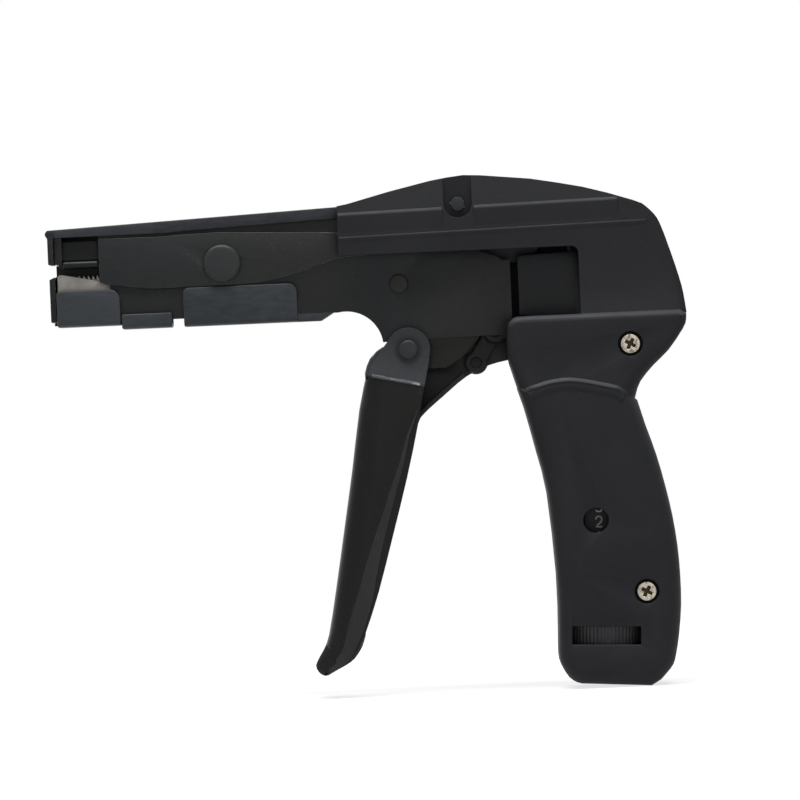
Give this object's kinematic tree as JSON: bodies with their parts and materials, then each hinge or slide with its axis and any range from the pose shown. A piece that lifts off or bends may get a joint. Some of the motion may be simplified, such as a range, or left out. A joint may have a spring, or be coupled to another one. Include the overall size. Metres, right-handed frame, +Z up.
{
  "type": "cable tie tensioning tool",
  "caption": "Pistol-grip hand tool that tightens a cable tie and cuts its tail, with a steel barrel, a squeeze trigger, split grip shells and a numbered tension knob.",
  "frame": {"origin": "middle of the grip's base face, on the tool's centre plane", "axes": "+X towards the back of the hand and away from the nose, +Y towards the tool's right side, away from the side where the tie enters, +Z up"},
  "size_m": [0.1791, 0.025, 0.1454],
  "materials": {
    "housing_plastic": "fine-textured moulded nylon",
    "screw_nickel": "nickel plated",
    "frame_steel": "black oxide, satin",
    "barrel_steel": "black oxide, satin",
    "cap_steel": "black oxide, satin, worn at the edges",
    "guard_steel": "black oxide, satin",
    "anvil_steel": "black oxide, satin",
    "rivet_steel": "black oxide, polished by wear",
    "frame_pin_steel": "black oxide, worn on the end",
    "yoke_steel": "black oxide, satin",
    "pin_steel": "ground",
    "trigger_paint": "black enamel, semi-gloss",
    "arm_steel": "black oxide, satin",
    "link_steel": "bright zinc",
    "spring_steel": "drawn wire",
    "pawl_steel": "bare hardened steel",
    "lever_steel": "oiled steel",
    "blade_steel": "ground",
    "knob_plastic": "moulded, ribbed",
    "carrier_zinc": "die cast",
    "scale_plastic": "printed"
  },
  "bodies": {
    "frame": {"housing_left": "housing_plastic", "housing_right": "housing_plastic", "housing_screws": "screw_nickel", "frame_plate_left": "frame_steel", "frame_plate_right": "frame_steel", "barrel_plate_left": "barrel_steel", "barrel_plate_right": "barrel_steel", "top_cap": "cap_steel", "nose_guard": "guard_steel", "barrel_guard": "guard_steel", "barrel_tab": "guard_steel", "tie_anvil": "anvil_steel", "barrel_rivet": "rivet_steel", "frame_pin": "frame_pin_steel", "top_pin": "rivet_steel", "trigger_pin": "rivet_steel", "yoke_plate_left": "yoke_steel", "yoke_plate_right": "yoke_steel", "lever_pin": "pin_steel", "spring_pin": "pin_steel", "return_spring": "spring_steel"},
    "trigger": {"trigger": "trigger_paint", "trigger_arm": "arm_steel", "arm_pin": "pin_steel"},
    "push_link": {"push_link": "link_steel"},
    "pull_lever": {"pull_lever": "link_steel", "lever_link_pins": "pin_steel"},
    "pull_rod": {"pull_rod": "link_steel", "pawl_pin": "pin_steel", "pawl_spring": "spring_steel"},
    "gripper_pawl": {"gripper_pawl": "pawl_steel"},
    "cutoff_lever": {"cutoff_lever": "lever_steel"},
    "cutter_blade": {"cutter_blade": "blade_steel"},
    "tension_knob": {"tension_knob": "knob_plastic", "tension_screw": "pin_steel"},
    "tension_carrier": {"tension_carrier": "carrier_zinc", "number_scale": "scale_plastic", "tension_spring": "spring_steel"}
  },
  "joints": [
    {"name": "trigger_pull", "type": "hinge", "parent": "frame", "child": "trigger", "pos_m": [-0.054, 0, 0.0964], "axis": [0, -1, 0], "range_deg": [0, 33], "stiffness_Nm_per_rad": 0.4, "springref_deg": -28.65},
    {"name": "push_link_turn", "type": "hinge", "parent": "trigger", "child": "push_link", "pos_m": [-0.03501, 0, 0.09195], "axis": [0, 1, 0], "range_deg": [0, 33.5]},
    {"name": "pull_lever_turn", "type": "hinge", "parent": "frame", "child": "pull_lever", "pos_m": [-0.002, 0, 0.106], "axis": [0, 1, 0], "range_deg": [0, 22.7], "deforming": ["return_spring"]},
    {"name": "pull_rod_slide", "type": "slide", "parent": "frame", "child": "pull_rod", "axis": [1, 0, 0], "range_m": [0, 0.00903]},
    {"name": "gripper_pawl_turn", "type": "hinge", "parent": "pull_rod", "child": "gripper_pawl", "pos_m": [-0.13396, 0, 0.11728], "axis": [0, -1, 0], "range_deg": [0, 6], "stiffness_Nm_per_rad": 0.002, "springref_deg": -11.46},
    {"name": "cutoff_lever_turn", "type": "hinge", "parent": "frame", "child": "cutoff_lever", "pos_m": [-0.0559, 0, 0.11509], "axis": [0, 1, 0], "range_deg": [0, 1.9], "stiffness_Nm_per_rad": 0.5, "springref_deg": -1.15},
    {"name": "cutter_blade_slide", "type": "slide", "parent": "frame", "child": "cutter_blade", "axis": [0, 0, 1], "range_m": [0, 0.0033]},
    {"name": "tension_knob_turn", "type": "hinge", "parent": "frame", "child": "tension_knob", "pos_m": [-0.002, 0, 0.014], "axis": [0.0436, 0, 0.999], "range_deg": [-1441, 721]},
    {"name": "tension_carrier_slide", "type": "slide", "parent": "frame", "child": "tension_carrier", "axis": [0.0436, 0, 0.999], "range_m": [-0.0092, 0.0046], "deforming": ["tension_spring"]}
  ],
  "couplings": [
    {"joint": "push_link_turn", "follows": "trigger_pull", "ratio": 1},
    {"joint": "pull_lever_turn", "follows": "trigger_pull", "ratio": 0.68485},
    {"joint": "pull_rod_slide", "follows": "trigger_pull", "m_per_rad": 0.01565},
    {"joint": "cutter_blade_slide", "follows": "cutoff_lever_turn", "m_per_rad": 0.0965},
    {"joint": "tension_knob_turn", "follows": "tension_carrier_slide", "rad_per_m": 2731.8}
  ]
}
